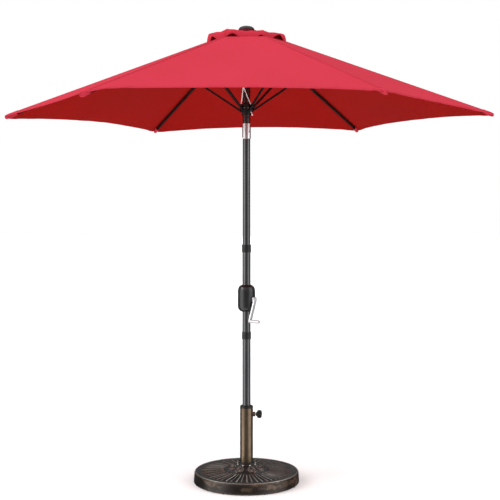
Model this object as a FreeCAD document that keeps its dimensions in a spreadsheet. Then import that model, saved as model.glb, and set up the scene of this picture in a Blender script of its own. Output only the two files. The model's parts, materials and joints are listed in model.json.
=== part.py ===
import FreeCAD, Part
import Sketcher
import math
import os
from FreeCAD import Placement, Rotation, Vector

# Centre-pole patio umbrella with crank lift, push-button tilt and a weighted round base.
# Frame: origin on the ground at the pole's axis, +Z up, ribs at 0, 60, ... 300 degrees from +X.

doc = FreeCAD.newDocument("patio_umbrella")
sheet = doc.addObject("Spreadsheet::Sheet", "Dims")

# alias, value in millimetres (or degrees), meaning
TABLE = [
    ("base_foot_radius", 274.0, "radius at the foot of the base"),
    ("base_top_radius", 270.0, "radius at the top edge of the base"),
    ("base_rim_height", 57.0, "top of the flat rim"),
    ("base_hub_height", 99.0, "top of the raised centre"),
    ("base_ceiling", 49.0, "underside of the casting inside the rim"),
    ("base_foot_height", 3.0, "thickness of the rubber feet"),
    ("flute_count", 54.0, "radial flutes in the base"),
    ("flute_depth", 3.0, "depth of a flute"),
    ("sleeve_radius", 33.45, "outer radius of the base tube"),
    ("sleeve_wall", 2.0, "wall of the base tube"),
    ("sleeve_top", 383.0, "top of the base tube"),
    ("collar_top", 396.0, "top of the tube's plastic collar"),
    ("knob_height", 350.0, "height of the clamp screw's axis"),
    ("knob_radius", 22.0, "radius to the knob's lobes"),
    ("clamp_screw_radius", 5.0, "clamp screw"),
    ("pole_low_radius", 21.0, "lower pole sections"),
    ("pole_low_wall", 1.6, "wall of the lower sections"),
    ("pole_mid_radius", 19.4, "middle section, nested in the crank section"),
    ("pole_mid_wall", 1.5, "wall of the middle and upper sections"),
    ("pole_up_radius", 20.3, "section above the tilt joint"),
    ("joint_low", 760.0, "butt of the two lower sections"),
    ("joint_high", 1212.0, "top of the crank section"),
    ("coupler_radius", 23.6, "black rings at the pole joints"),
    ("housing_radius", 45.0, "crank housing"),
    ("housing_low", 883.0, "bottom of the crank housing"),
    ("housing_high", 1023.0, "top of the crank housing"),
    ("crank_height", 948.0, "crank axis"),
    ("crank_azimuth", -37.0, "direction the crank faces"),
    ("crank_throw", 115.0, "crank axis to grip axis"),
    ("crank_slant", 21.0, "angle of the hanging arm from the vertical"),
    ("grip_radius", 8.5, "crank grip"),
    ("grip_length", 56.0, "crank grip"),
    ("tilt_height", 1793.0, "tilt axis"),
    ("tilt_collar_low", 1783.0, "bottom of the tilt collar"),
    ("tilt_collar_high", 1861.0, "top of the tilt collar"),
    ("tilt_collar_radius", 22.3, "tilt collar"),
    ("tilt_angle", 30.0, "largest tilt"),
    ("runner_pivot", 1928.0, "height of the strut pivots on the runner"),
    ("runner_pivot_radius", 31.5, "strut pivots to the pole's axis"),
    ("runner_radius", 35.0, "runner"),
    ("runner_low", 1922.0, "bottom of the runner"),
    ("runner_high", 1961.0, "top of the runner"),
    ("runner_bore", 23.2, "runner bore, wide enough to pass the tilt collar"),
    ("hub_pivot", 2338.4, "height of the rib pivots"),
    ("hub_pivot_radius", 30.0, "rib pivots to the pole's axis"),
    ("hub_radius", 36.0, "top hub"),
    ("rib_slope", 0.354, "fall of a rib per unit of radius"),
    ("rib_width", 9.0, "rib section"),
    ("rib_depth", 14.0, "rib section"),
    ("rib_wall", 1.2, "rib section"),
    ("rib_reach", 1262.0, "radius at the rib's end"),
    ("strut_reach", 417.0, "hub pivot to strut pivot, along the rib"),
    ("strut_drop", 13.5, "strut pivot below the rib's centre line"),
    ("strut_width", 8.0, "strut section"),
    ("strut_depth", 10.0, "strut section"),
    ("pivot_pin_radius", 2.5, "rib and strut pivots"),
    ("canopy_ridge", 2360.0, "height where the six ridges would meet"),
    ("canopy_radius", 1273.0, "pole axis to a canopy corner"),
    ("canopy_cutin", 58.0, "how far the hem curves in at mid edge"),
    ("canopy_thick", 1.6, "fabric with its seam allowance"),
    ("vent_hole", 150.0, "corner radius of the opening under the vent"),
    ("vent_radius", 198.0, "corner radius of the vent canopy's top"),
    ("vent_high", 2346.0, "vent canopy near the finial"),
    ("vent_low", 2325.0, "vent canopy at its corners"),
    ("skirt_radius", 205.5, "corner radius at the vent skirt's hem"),
    ("skirt_low", 2291.5, "hem of the vent's skirt"),
    ("finial_radius", 41.5, "finial"),
    ("finial_top", 2370.0, "top of the finial"),
    ("pulley_height", 2062.0, "lift pulley axis"),
    ("cord_radius", 2.0, "lift cord"),
]
D = {}


class Q:
    """A length with its spreadsheet expression."""

    def __init__(self, v, s=None):
        self.v, self.s = float(v), s if s is not None else repr(float(v))
        self.bound = s is not None

    def _op(self, o, f, sym, swap=False):
        o = o if isinstance(o, Q) else Q(o)
        a, b = (o, self) if swap else (self, o)
        r = Q(f(a.v, b.v), "(%s %s %s)" % (a.s, sym, b.s))
        r.bound = a.bound or b.bound
        return r

    def __add__(self, o):
        return self._op(o, lambda a, b: a + b, "+")

    def __radd__(self, o):
        return self._op(o, lambda a, b: a + b, "+", True)

    def __sub__(self, o):
        return self._op(o, lambda a, b: a - b, "-")

    def __rsub__(self, o):
        return self._op(o, lambda a, b: a - b, "-", True)

    def __mul__(self, o):
        return self._op(o, lambda a, b: a * b, "*")

    def __rmul__(self, o):
        return self._op(o, lambda a, b: a * b, "*", True)

    def __truediv__(self, o):
        return self._op(o, lambda a, b: a / b, "/")


for row, (alias, value, note) in enumerate(TABLE, 1):
    sheet.set("A%d" % row, note)
    sheet.set("B%d" % row, repr(value))
    sheet.setAlias("B%d" % row, alias)
    D[alias] = Q(value, "Dims." + alias)
doc.recompute()


class Dims:
    def __getattr__(self, name):
        return D[name]


d = Dims()
NODES = {}
count = [0]


def q(x):
    return x if isinstance(x, Q) else Q(x)


def new(kind, name):
    count[0] += 1
    return doc.addObject(kind, "%s_%03d" % (name, count[0]))


def bind(obj, prop, x):
    x = q(x)
    setattr(obj, prop, x.v)
    if x.bound:
        obj.setExpression(prop, x.s)


def place(obj, at=(0, 0, 0), rot=None):
    at = [q(c) for c in at]
    obj.Placement = Placement(Vector(*[c.v for c in at]), rot or Rotation())
    for c, axis in zip(at, "xyz"):
        if c.bound:
            obj.setExpression("Placement.Base." + axis, c.s)
    return obj


TO_X = Rotation(Vector(0, 0, 1), Vector(1, 0, 0))
TO_Y = Rotation(Vector(0, 0, 1), Vector(0, 1, 0))


def cyl(r, length, at=(0, 0, 0), rot=None):
    o = new("Part::Cylinder", "cyl")
    bind(o, "Radius", r)
    bind(o, "Height", length)
    return place(o, at, rot)


def box(x, y, z, at=(0, 0, 0), rot=None):
    o = new("Part::Box", "box")
    bind(o, "Length", x)
    bind(o, "Width", y)
    bind(o, "Height", z)
    return place(o, at, rot)


def ball(r, at=(0, 0, 0)):
    o = new("Part::Sphere", "ball")
    bind(o, "Radius", r)
    return place(o, at)


def cone(r1, r2, length, at=(0, 0, 0), rot=None):
    o = new("Part::Cone", "cone")
    bind(o, "Radius1", r1)
    bind(o, "Radius2", r2)
    bind(o, "Height", length)
    return place(o, at, rot)


def cut(a, *tools):
    o = new("Part::Cut", "cut")
    o.Base = a
    o.Tool = tools[0] if len(tools) == 1 else fuse(*tools)
    return o


def fuse(*shapes):
    o = new("Part::MultiFuse", "fuse")
    o.Shapes = list(shapes)
    return o


def common(*shapes):
    o = new("Part::MultiCommon", "common")
    o.Shapes = list(shapes)
    return o


def group(*shapes):
    o = new("Part::Compound", "group")
    o.Links = list(shapes)
    return o


def node(name, obj):
    obj.Label = name
    NODES[name] = obj
    return obj


def tube(ro, ri, z0, z1):
    z0, z1 = q(z0), q(z1)
    return cut(
        cyl(ro, z1 - z0, (0, 0, z0)), cyl(ri, z1 - z0 + 2, (0, 0, z0 - 1))
    )


def polar(n, r, z, make, start=0.0):
    """n objects from make(x, y, z) on a circle."""
    out = []
    for i in range(n):
        a = math.radians(start + 360.0 * i / n)
        out.append(make(r * math.cos(a), r * math.sin(a), z))
    return out


def body(name):
    b = doc.addObject("PartDesign::Body", name)
    doc.recompute()
    return b


def plane(b, role):
    return [f for f in b.Origin.OriginFeatures if f.Role == role][0]


def sketch(b, name, role="XZ_Plane"):
    s = b.newObject("Sketcher::SketchObject", name)
    s.AttachmentSupport = (plane(b, role), [""])
    s.MapMode = "FlatFace"
    return s


def polygon(s, pts):
    """A closed polygon, each corner tied to the origin by sheet-driven distances."""
    pts = [(q(x), q(y)) for x, y in pts]
    n = len(pts)
    for i in range(n):
        a, b = pts[i], pts[(i + 1) % n]
        s.addGeometry(
            Part.LineSegment(Vector(a[0].v, a[1].v, 0), Vector(b[0].v, b[1].v, 0)),
            False,
        )
    for i in range(n):
        s.addConstraint(Sketcher.Constraint("Coincident", i, 2, (i + 1) % n, 1))
    for i, (x, y) in enumerate(pts):
        for kind, c in (("DistanceX", x), ("DistanceY", y)):
            if abs(c.v) < 1e-9:
                on = -2 if kind == "DistanceX" else -1
                s.addConstraint(Sketcher.Constraint("PointOnObject", i, 1, on))
                continue
            k = s.addConstraint(Sketcher.Constraint(kind, -1, 1, i, 1, c.v))
            if c.bound:
                s.setExpression("Constraints[%d]" % k, c.s)


def revolve(name, pts):
    """A PartDesign body turned about Z from an r, z outline."""
    b = body(name)
    s = sketch(b, name + "_outline")
    polygon(s, pts)
    r = b.newObject("PartDesign::Revolution", name + "_turn")
    r.Profile = s
    r.ReferenceAxis = (s, ["V_Axis"])
    r.Angle = 360.0
    doc.recompute()
    return b


def pocket(b, name, pts, through, role="XY_Plane", reverse=True):
    s = sketch(b, name + "_outline", role)
    polygon(s, pts)
    p = b.newObject("PartDesign::Pocket", name)
    p.Profile = s
    bind(p, "Length", through)
    p.Reversed = reverse
    doc.recompute()
    return p, s


def pattern(b, name, feature, n):
    m = b.newObject("PartDesign::PolarPattern", name)
    m.Originals = [feature]
    m.Axis = (
        [f for f in b.Origin.OriginFeatures if f.Role == "Z_Axis"][0],
        [""],
    )
    m.Angle = 360.0
    m.Occurrences = n
    b.Tip = m
    doc.recompute()
    return m


# ------------------------------------------------------------------ base
plate = revolve(
    "BasePlate",
    [
        (d.sleeve_radius + 0.15, d.base_ceiling),
        (d.base_foot_radius - 12, d.base_ceiling),
        (d.base_foot_radius - 10, d.base_foot_height),
        (d.base_foot_radius - 1, d.base_foot_height),
        (d.base_foot_radius, d.base_foot_height + 3),
        (d.base_top_radius, d.base_rim_height - 5),
        (d.base_top_radius - 4, d.base_rim_height),
        (d.base_top_radius - 34, d.base_rim_height),
        (d.base_top_radius - 36, d.base_rim_height - 1),
        (150, d.base_rim_height + 3),
        (110, d.base_rim_height + 8),
        (80, d.base_rim_height + 18),
        (60, d.base_rim_height + 29),
        (46, d.base_hub_height - 4),
        (40, d.base_hub_height),
        (d.sleeve_radius + 0.15, d.base_hub_height),
    ],
)
whole = plate.Shape.Volume
flute, fs = pocket(
    plate,
    "Flute",
    [(110, -2.2), (228, -4.6), (228, 4.6), (110, 2.2)],
    40,
    reverse=True,
)
fs.AttachmentOffset = Placement(
    Vector(0, 0, D["base_rim_height"].v - D["flute_depth"].v), Rotation()
)
fs.setExpression(
    "AttachmentOffset.Base.z",
    (d.base_rim_height - d.flute_depth).s,
)
doc.recompute()
pattern(plate, "Flutes", flute, int(D["flute_count"].v))
assert plate.Shape.Volume < whole - 1000, "the flutes cut nothing"
whole = plate.Shape.Volume
bolt_hole, bs = pocket(
    plate, "BoltHole", [(41.3, -3.7), (48.7, -3.7), (48.7, 3.7), (41.3, 3.7)], 14
)
# a round hole in place of the square outline
bs.deleteAllGeometry()
bs.addGeometry(Part.Circle(Vector(45, 0, 0), Vector(0, 0, 1), 4.0), False)
bs.AttachmentOffset = Placement(Vector(0, 0, D["base_ceiling"].v), Rotation())
doc.recompute()
pattern(plate, "BoltHoles", bolt_hole, 4)
assert plate.Shape.Volume < whole - 1000, "the bolt holes cut nothing"
node("base_plate", plate)

node(
    "base_feet",
    group(*polar(8, 268.4, 0, lambda x, y, z: cyl(4.3, d.base_foot_height, (x, y, z)), 22.5)),
)
node(
    "base_bolts",
    group(
        *polar(
            4,
            45,
            38.5,
            lambda x, y, z: fuse(cyl(6.5, 5.5, (x, y, z)), cyl(4.0, 22, (x, y, z))),
        )
    ),
)
sleeve = fuse(
    cyl(60, 5, (0, 0, d.base_ceiling - 5)),
    cut(
        cyl(d.sleeve_radius, d.sleeve_top - d.base_ceiling, (0, 0, d.base_ceiling)),
        cyl(d.sleeve_radius - d.sleeve_wall, 500, (0, 0, d.base_ceiling)),
    ),
    cut(
        cyl(12, 14, (31.5, 0, d.knob_height), TO_X),
        cyl(d.sleeve_radius - d.sleeve_wall, 60, (0, 0, d.knob_height - 30)),
    ),
)
sleeve_holes = [cyl(d.clamp_screw_radius + 0.06, 40, (20, 0, d.knob_height), TO_X)]
sleeve_holes += polar(4, 45, 40, lambda x, y, z: cyl(4.0, 20, (x, y, z)))
node("base_tube", cut(sleeve, *sleeve_holes))
insert = revolve(
    "TubeCollar",
    [
        (d.pole_low_radius + 0.06, 362),
        (d.sleeve_radius - d.sleeve_wall - 0.05, 362),
        (d.sleeve_radius - d.sleeve_wall - 0.05, d.sleeve_top),
        (d.sleeve_radius + 0.6, d.sleeve_top),
        (d.sleeve_radius + 0.6, d.collar_top - 5),
        (d.sleeve_radius - 2.5, d.collar_top - 1.2),
        (d.sleeve_radius - 6, d.collar_top),
        (d.pole_low_radius + 0.06, d.collar_top),
    ],
)
node("tube_collar", insert)

# ------------------------------------------------------------------ clamp screw
pad = cut(
    cyl(7, 5.6, (20.9, 0, d.knob_height), TO_X),
    cyl(d.pole_low_radius + 0.06, 40, (0, 0, d.knob_height - 20)),
    cyl(4.05, 10, (23.2, 0, d.knob_height), TO_X),
)
node("clamp_pad", pad)
screw = fuse(
    cyl(4.0, 5, (23.4, 0, d.knob_height), TO_X),
    cyl(d.clamp_screw_radius, 50, (26.9, 0, d.knob_height), TO_X),
)
node("clamp_screw", screw)
lobes = [cyl(15.5, 27, (53.5, 0, d.knob_height), TO_X)]
for i in range(6):
    a = math.radians(60 * i + 30)
    lobes.append(
        cyl(
            7.5,
            23,
            (55.5, 14.5 * math.cos(a), d.knob_height + 14.5 * math.sin(a)),
            TO_X,
        )
    )
knob = cut(
    fuse(cone(9, 12, 5, (49.5, 0, d.knob_height), TO_X), *lobes),
    cyl(d.clamp_screw_radius, 28, (48.9, 0, d.knob_height), TO_X),
)
node("clamp_knob", knob)

# ------------------------------------------------------------------ pole sections
CA = D["crank_azimuth"].v
AWAY = Rotation(Vector(0, 0, 1), CA)
ca, sa = math.cos(math.radians(CA)), math.sin(math.radians(CA))


def along(r, t, z):
    """Point at distance r toward the crank, t sideways, height z."""
    return (r * ca - t * sa, r * sa + t * ca, z)


OUT = Rotation(Vector(0, 0, 1), Vector(ca, sa, 0))
SIDE = Rotation(Vector(0, 0, 1), Vector(-sa, ca, 0))

pl, wl = d.pole_low_radius, d.pole_low_wall
node("lower_pole", tube(pl, pl - wl, d.base_ceiling + 0.3, d.joint_low))
node("ring_low", tube(d.coupler_radius, pl, d.joint_low - 19, d.joint_low + 18))
crank_tube = cut(
    tube(pl, pl - wl, d.joint_low, d.joint_high),
    box(30, 27, 30, along(2, -13.5, d.crank_height - 15), AWAY),
    cyl(5.05, 30, along(-30, 0, d.crank_height), OUT),
)
node("crank_pole", crank_tube)
node("ring_high", tube(d.coupler_radius, pl, d.joint_high - 20, d.joint_high + 19))
pm, wm = d.pole_mid_radius, d.pole_mid_wall
node("mid_pole", tube(pm, pm - wm, 1090, d.tilt_height - 10.5))

# crank housing: a rounded capsule split front and rear
shell = revolve(
    "HousingShell",
    [
        (pl, d.housing_low),
        (26, d.housing_low + 1),
        (35, d.housing_low + 6),
        (41, d.housing_low + 13),
        (44, d.housing_low + 21),
        (d.housing_radius, d.housing_low + 31),
        (d.housing_radius, d.housing_high - 33),
        (43.4, d.housing_high - 22),
        (39, d.housing_high - 11),
        (32, d.housing_high - 4),
        (25, d.housing_high - 0.5),
        (pl, d.housing_high),
        (pl, d.housing_high - 5),
        (29, d.housing_high - 7),
        (36, d.housing_high - 14),
        (40.4, d.housing_high - 24),
        (42, d.housing_high - 34),
        (42, d.housing_low + 32),
        (40.8, d.housing_low + 22),
        (33, d.housing_low + 10),
        (26, d.housing_low + 5),
        (pl, d.housing_low + 4),
    ],
)
front_half = box(60, 120, 200, along(0, -60, 860), AWAY)
rear_half = box(60, 120, 200, along(-60, -60, 860), AWAY)
front = cut(
    fuse(
        common(shell, front_half),
        cut(
            cyl(15, 12, along(39.5, 0, d.crank_height), OUT),
            cyl(30, 20, (0, 0, d.crank_height - 10)),
        ),
        cyl(15, 4, along(38.5, 0, d.crank_height), OUT),
    ),
    cyl(6.1, 40, along(30, 0, d.crank_height), OUT),
)
node("housing_front", front)
rear = common(shell, rear_half)
rear_bosses, rear_screws = [], []
for s in (-1, 1):
    for z in (-40, 42):
        rear_bosses.append(
            cyl(3.1, 40, along(-60, s * 30.5, d.crank_height + z), OUT)
        )
        rear_screws.append(
            cyl(3.1, 22, along(-33.5, s * 30.5, d.crank_height + z), OUT)
        )
node("housing_rear", cut(rear, *rear_bosses))
node("housing_screws", group(*rear_screws))

# ------------------------------------------------------------------ crank
spool = fuse(
    cyl(5.0, 84, along(-23, 0, d.crank_height), OUT),
    cyl(9.0, 22, along(-11, 0, d.crank_height), OUT),
    cyl(12.0, 2, along(-13, 0, d.crank_height), OUT),
    cyl(12.0, 2, along(11, 0, d.crank_height), OUT),
)
node("crank_spool", spool)
# the arm is drawn upright in its own frame: X outward, Z up, origin on the crank axis
W, T = 20.0, d.crank_throw
arm = fuse(
    box(6, W, T, (56, -W / 2, -1 * T)),
    cyl(W / 2, 6, (56, 0, 0), TO_X),
    cyl(W / 2, 6, (56, 0, -1 * T), TO_X),
    cyl(11.5, 8, (52.2, 0, 0), TO_X),
    cyl(3.0, d.grip_length + 6, (60, 0, -1 * T), TO_X),
)
arm = cut(
    arm,
    box(3, 11, T - 24, (59.5, -5.5, 12 - T)),
    cyl(5.0, 14, (50, 0, 0), TO_X),
)
LEAN = AWAY.multiply(Rotation(Vector(1, 0, 0), -D["crank_slant"].v))
arm.Placement = Placement(Vector(0, 0, D["crank_height"].v), LEAN)
node("crank_arm", arm)
grip = cut(
    fuse(
        cyl(d.grip_radius - 0.8, d.grip_length, (63, 0, -1 * T), TO_X),
        cyl(d.grip_radius, d.grip_length - 12, (69, 0, -1 * T), TO_X),
    ),
    cyl(3.05, d.grip_length + 10, (60, 0, -1 * T), TO_X),
)
grip.Placement = Placement(Vector(0, 0, D["crank_height"].v), LEAN)
node("crank_grip", grip)

# ------------------------------------------------------------------ tilt joint
TILT = math.radians(D["tilt_angle"].v)
zt = d.tilt_height
pm_in = d.pole_mid_radius - d.pole_mid_wall
tongue = fuse(
    cyl(pm_in, 24, (0, 0, zt - 34.5)),
    box(17.3, 18, 14, along(-11, -9, zt - 12), AWAY),
    common(
        cyl(11, 18, along(0, -9, zt), SIDE),
        box(17.3, 18, 24, along(-11, -9, zt - 12), AWAY),
    ),
)
tongue = cut(
    tongue,
    cyl(3.05, 30, along(0, -15, zt), SIDE),
    cyl(4.2, 30, along(9.4, 0, zt - 36)),
)
node("tilt_tongue", tongue)
# everything above the pivot is cut back where it would swing down onto the pole's top
wedge = box(60, 80, 60)
wedge.Placement = Placement(
    Vector(0, 0, D["tilt_height"].v),
    AWAY.multiply(Rotation(Vector(0, 1, 0), D["tilt_angle"].v)),
).multiply(Placement(Vector(-55, -40, -69.8), Rotation()))
fork = cut(
    fuse(
        cyl(d.tilt_collar_radius - 1.9, 42, (0, 0, zt - 8)),
        cyl(d.pole_up_radius - d.pole_mid_wall, 60, (0, 0, zt + 8)),
    ),
    box(60, 18.8, 30, along(-30, -9.4, zt - 17.6), AWAY),
    cyl(3.0, 50, along(0, -25, zt), SIDE),
    cyl(4.2, 80, along(8.4, 0, zt + 2)),
    cyl(6.6, 14, along(12.6, 0, zt + 25), OUT),
    wedge,
)
node("tilt_fork", fork)
wedge2 = box(60, 80, 60)
wedge2.Placement = wedge.Placement
collar = cut(
    tube(
        d.tilt_collar_radius,
        d.tilt_collar_radius - 1.9,
        d.tilt_collar_low,
        d.tilt_collar_high,
    ),
    cyl(3.0, 50, along(0, -25, zt), SIDE),
    cyl(6.6, 14, along(12.6, 0, zt + 25), OUT),
    wedge2,
)
node("tilt_collar", collar)
node("tilt_pin", cyl(3.0, 43.6, along(0, -21.8, zt), SIDE))
node(
    "tilt_button",
    fuse(
        cyl(6.5, 6.3, along(15.6, 0, zt + 25), OUT),
        cyl(5.2, 6.8, along(15.6, 0, zt + 25), OUT),
    ),
)

# ------------------------------------------------------------------ upper pole
PA = -125.0
pc, ps = math.cos(math.radians(PA)), math.sin(math.radians(PA))
PULL = Rotation(Vector(0, 0, 1), PA)


def toward(r, t, z):
    return (r * pc - t * ps, r * ps + t * pc, z)


ACROSS = Rotation(Vector(0, 0, 1), Vector(-ps, pc, 0))
pu = d.pole_up_radius
zp = d.pulley_height
upper = cut(
    tube(pu, pu - d.pole_mid_wall, zt + 42, d.hub_pivot + 1.5),
    box(30, 9, 32, toward(6, -4.5, zp - 16), PULL),
    cyl(2.05, 40, toward(14.5, -20, zp), ACROSS),
)
node("upper_tube", upper)
wheel = fuse(
    cyl(9.0, 5.6, toward(14.5, -2.8, zp), ACROSS),
    cyl(12.2, 0.8, toward(14.5, -3.6, zp), ACROSS),
    cyl(12.2, 0.8, toward(14.5, 2.8, zp), ACROSS),
    cyl(2.0, 26, toward(14.5, -13, zp), ACROSS),
)
node("lift_pulley", wheel)

# ------------------------------------------------------------------ runner
rr = d.runner_pivot_radius
slots = []
for k in range(6):
    R = Rotation(Vector(0, 0, 1), 60.0 * k)
    c, s = math.cos(math.radians(60 * k)), math.sin(math.radians(60 * k))

    def at(x, y, z, c=c, s=s):
        return (x * c - y * s, x * s + y * c, z)

    r0 = D["runner_pivot_radius"].v
    T_Y = Rotation(Vector(0, 0, 1), Vector(-s, c, 0))
    slots += [
        box(20, 9, 60, at(25.2, -4.5, d.runner_low - 10), R),
        box(5.4, 13.8, 20, at(r0 - 2.7, -6.9, d.runner_pivot - 20), R),
        box(2.6, 13.8, 4.5, at(r0 + 2.6, -6.9, d.runner_pivot - 6.5), R),
        cyl(2.7, 13.8, at(r0, -6.9, d.runner_pivot), T_Y),
    ]
runner = cut(
    fuse(
        tube(d.runner_radius, d.runner_bore, d.runner_low, d.runner_high),
        tube(25.0, d.runner_bore, d.runner_low - 18, d.runner_low),
    ),
    *slots,
    *[cyl(2.0, 4, (x, -35, 1941), TO_Y) for x in (-10.0, 10.0)],
    *[cyl(3.4, 2.7, (x, -36, 1941), TO_Y) for x in (-10.0, 10.0)],
)
node("runner_body", runner)
# each rivet sits in a flat seat between two strut slots
node(
    "runner_rivets",
    group(
        *[
            fuse(
                cyl(2.0, 2.4, (x, -33.4, 1941), TO_Y),
                cyl(3.4, 1.6, (x, -34.9, 1941), TO_Y),
            )
            for x in (-10.0, 10.0)
        ]
    ),
)

# ------------------------------------------------------------------ top hub and finial
hub = revolve(
    "TopHub",
    [
        (pu, d.hub_pivot - 14),
        (d.hub_radius - 8, d.hub_pivot - 14),
        (d.hub_radius, d.hub_pivot - 9),
        (d.hub_radius, d.hub_pivot + 4.5),
        (d.hub_radius - 4, d.hub_pivot + 7.5),
        (10, d.hub_pivot + 7.5),
        (10, d.hub_pivot + 1.5),
        (pu, d.hub_pivot + 1.5),
    ],
)
whole = hub.Shape.Volume
rib_slot, _ = pocket(
    hub,
    "RibSlot",
    [(21.9, -4.9), (50, -4.9), (50, 4.9), (21.9, 4.9)],
    40,
    reverse=True,
)
rib_slot_sketch = _
rib_slot_sketch.AttachmentOffset = Placement(
    Vector(0, 0, D["hub_pivot"].v - 30), Rotation()
)
rib_slot_sketch.setExpression("AttachmentOffset.Base.z", (d.hub_pivot - 30).s)
doc.recompute()
pattern(hub, "RibSlots", rib_slot, 6)
assert hub.Shape.Volume < whole - 1000, "the rib slots cut nothing"
pin_holes, hub_pins = [], []
for k in range(6):
    c, s = math.cos(math.radians(60 * k)), math.sin(math.radians(60 * k))
    T_Y = Rotation(Vector(0, 0, 1), Vector(-s, c, 0))
    r0 = D["hub_pivot_radius"].v
    x, y = r0 * c + 9.5 * s, r0 * s - 9.5 * c
    pin_holes.append(cyl(d.pivot_pin_radius, 19, (x, y, d.hub_pivot), T_Y))
    hub_pins.append(cyl(d.pivot_pin_radius, 19, (x, y, d.hub_pivot), T_Y))
node("top_hub", cut(hub, *pin_holes))
node("hub_pins", group(*hub_pins))
cap = revolve(
    "FinialCap",
    [
        (0, d.hub_pivot + 3),
        (9.8, d.hub_pivot + 3),
        (9.8, d.finial_top - 22),
        (d.finial_radius - 2, d.finial_top - 22),
        (d.finial_radius, d.finial_top - 20.3),
        (d.finial_radius, d.finial_top - 18.5),
        (d.finial_radius - 1.7, d.finial_top - 14.5),
        (d.finial_radius - 5.5, d.finial_top - 9.8),
        (d.finial_radius - 12, d.finial_top - 5.4),
        (20, d.finial_top - 2.3),
        (10, d.finial_top - 0.6),
        (0, d.finial_top),
    ],
)
node("finial", cap)

# ------------------------------------------------------------------ ribs and struts
SL = math.atan(D["rib_slope"].v)
rib_len = d.rib_reach / math.cos(SL) - d.hub_pivot_radius / math.cos(SL)
pr = d.pivot_pin_radius
A = Vector(D["hub_pivot_radius"].v, 0, D["hub_pivot"].v)
LC, DC = D["strut_reach"].v, D["strut_drop"].v
CP = A + Vector(
    LC * math.cos(SL) - DC * math.sin(SL), 0, -LC * math.sin(SL) - DC * math.cos(SL)
)
BP = Vector(D["runner_pivot_radius"].v, 0, D["runner_pivot"].v)
STRUT_LEN = (CP - BP).Length
STRUT_ANG = math.degrees(math.atan2(CP.z - BP.z, CP.x - BP.x))
print("strut pivot", CP, "strut length", STRUT_LEN, "angle", STRUT_ANG)

for k in range(6):
    turn = Rotation(Vector(0, 0, 1), 60.0 * k)
    # rib frame: X along the rib from the hub pivot, Z square to it
    rib_at = Placement(
        turn.multVec(A), turn.multiply(Rotation(Vector(0, 1, 0), math.degrees(SL)))
    )
    w, h, t = d.rib_width, d.rib_depth, d.rib_wall
    bar = cut(
        fuse(
            cyl(6.6, 8, (0, -4, 0), TO_Y),
            box(16, 8, 11, (0, -4, -5.5)),
            box(rib_len - 14, w, h, (14, w / -2, h / -2)),
        ),
        box(rib_len, w - 2 * t, h - 2 * t, (26, t - w / 2, t - h / 2)),
        cyl(pr + 0.05, 20, (0, -10, 0), TO_Y),
        cyl(2.0, 20, (LC, -10, 0), TO_Y),
    )
    bar.Placement = rib_at
    node("rib_%d" % (k + 1), bar)
    tip = fuse(
        box(24, w - 2 * t - 0.2, h - 2 * t - 0.2, (rib_len - 20, t - w / 2 + 0.1, t - h / 2 + 0.1)),
        box(4, w, h - 1, (rib_len, w / -2, h / -2 + 0.5)),
        ball(5.5, (rib_len + 5, 0, -0.6)),
    )
    tip.Placement = rib_at
    node("rib_tip_%d" % (k + 1), tip)
    cheeks = []
    for y in (-6.7, 4.6):
        cheeks.append(
            cut(
                fuse(
                    box(22, 2.1, 14 + DC - 5, (LC - 11, y, -DC + 0)),
                    cyl(5.6, 2.1, (LC, y, -DC), TO_Y),
                ),
                cyl(pr, 4, (LC, y - 1, -DC), TO_Y),
                cyl(2.0, 4, (LC, y - 1, 0), TO_Y),
                box(40, 6, 20, (LC - 20, y - 2, 4)),
            )
        )
    rivets = [
        fuse(cyl(pr, 14.6, (LC, -7.3, -DC), TO_Y), cyl(3.8, 1.1, (LC, -7.9, -DC), TO_Y)),
        fuse(cyl(2.0, 14.6, (LC, -7.3, 0), TO_Y), cyl(3.4, 1.1, (LC, -7.9, 0), TO_Y)),
    ]
    clip = group(*cheeks, *rivets)
    clip.Placement = rib_at
    node("rib_bracket_%d" % (k + 1), clip)

    # strut frame: X from the runner pivot to the rib pivot
    strut_at = Placement(
        turn.multVec(BP), turn.multiply(Rotation(Vector(0, 1, 0), -STRUT_ANG))
    )
    sw, sh = d.strut_width, d.strut_depth
    arm_bar = cut(
        fuse(
            cyl(5.6, sw, (0, sw / -2, 0), TO_Y),
            box(STRUT_LEN, sw, sh, (0, sw / -2, sh / -2)),
            cyl(5.4, sw, (STRUT_LEN, sw / -2, 0), TO_Y),
        ),
        box(STRUT_LEN - 60, sw - 2.4, sh - 2.4, (30, sw / -2 + 1.2, sh / -2 + 1.2)),
        cyl(pr, 20, (0, -10, 0), TO_Y),
        cyl(pr + 0.05, 20, (STRUT_LEN, -10, 0), TO_Y),
    )
    strut = group(arm_bar, cyl(pr, 13.2, (0, -6.6, 0), TO_Y))
    strut.Placement = strut_at
    node("strut_%d" % (k + 1), strut)

# ------------------------------------------------------------------ canopy
# six flat gores; each is a closed thin solid between two ridges. The vent has a short steep skirt round it.


def ridge(z0, fall, r, k):
    a = math.radians(60 * k)
    return Vector(r * math.cos(a), r * math.sin(a), z0 - fall * r)


def gore(name, outline, thick):
    n = (outline[1] - outline[0]).cross(outline[2] - outline[0]).normalize()
    if n.z > 0:
        n = n * -1
    face = Part.Face(Part.makePolygon(outline + [outline[0]]))
    o = new("Part::Feature", name)
    o.Shape = face.extrude(n * thick)
    return o


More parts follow.
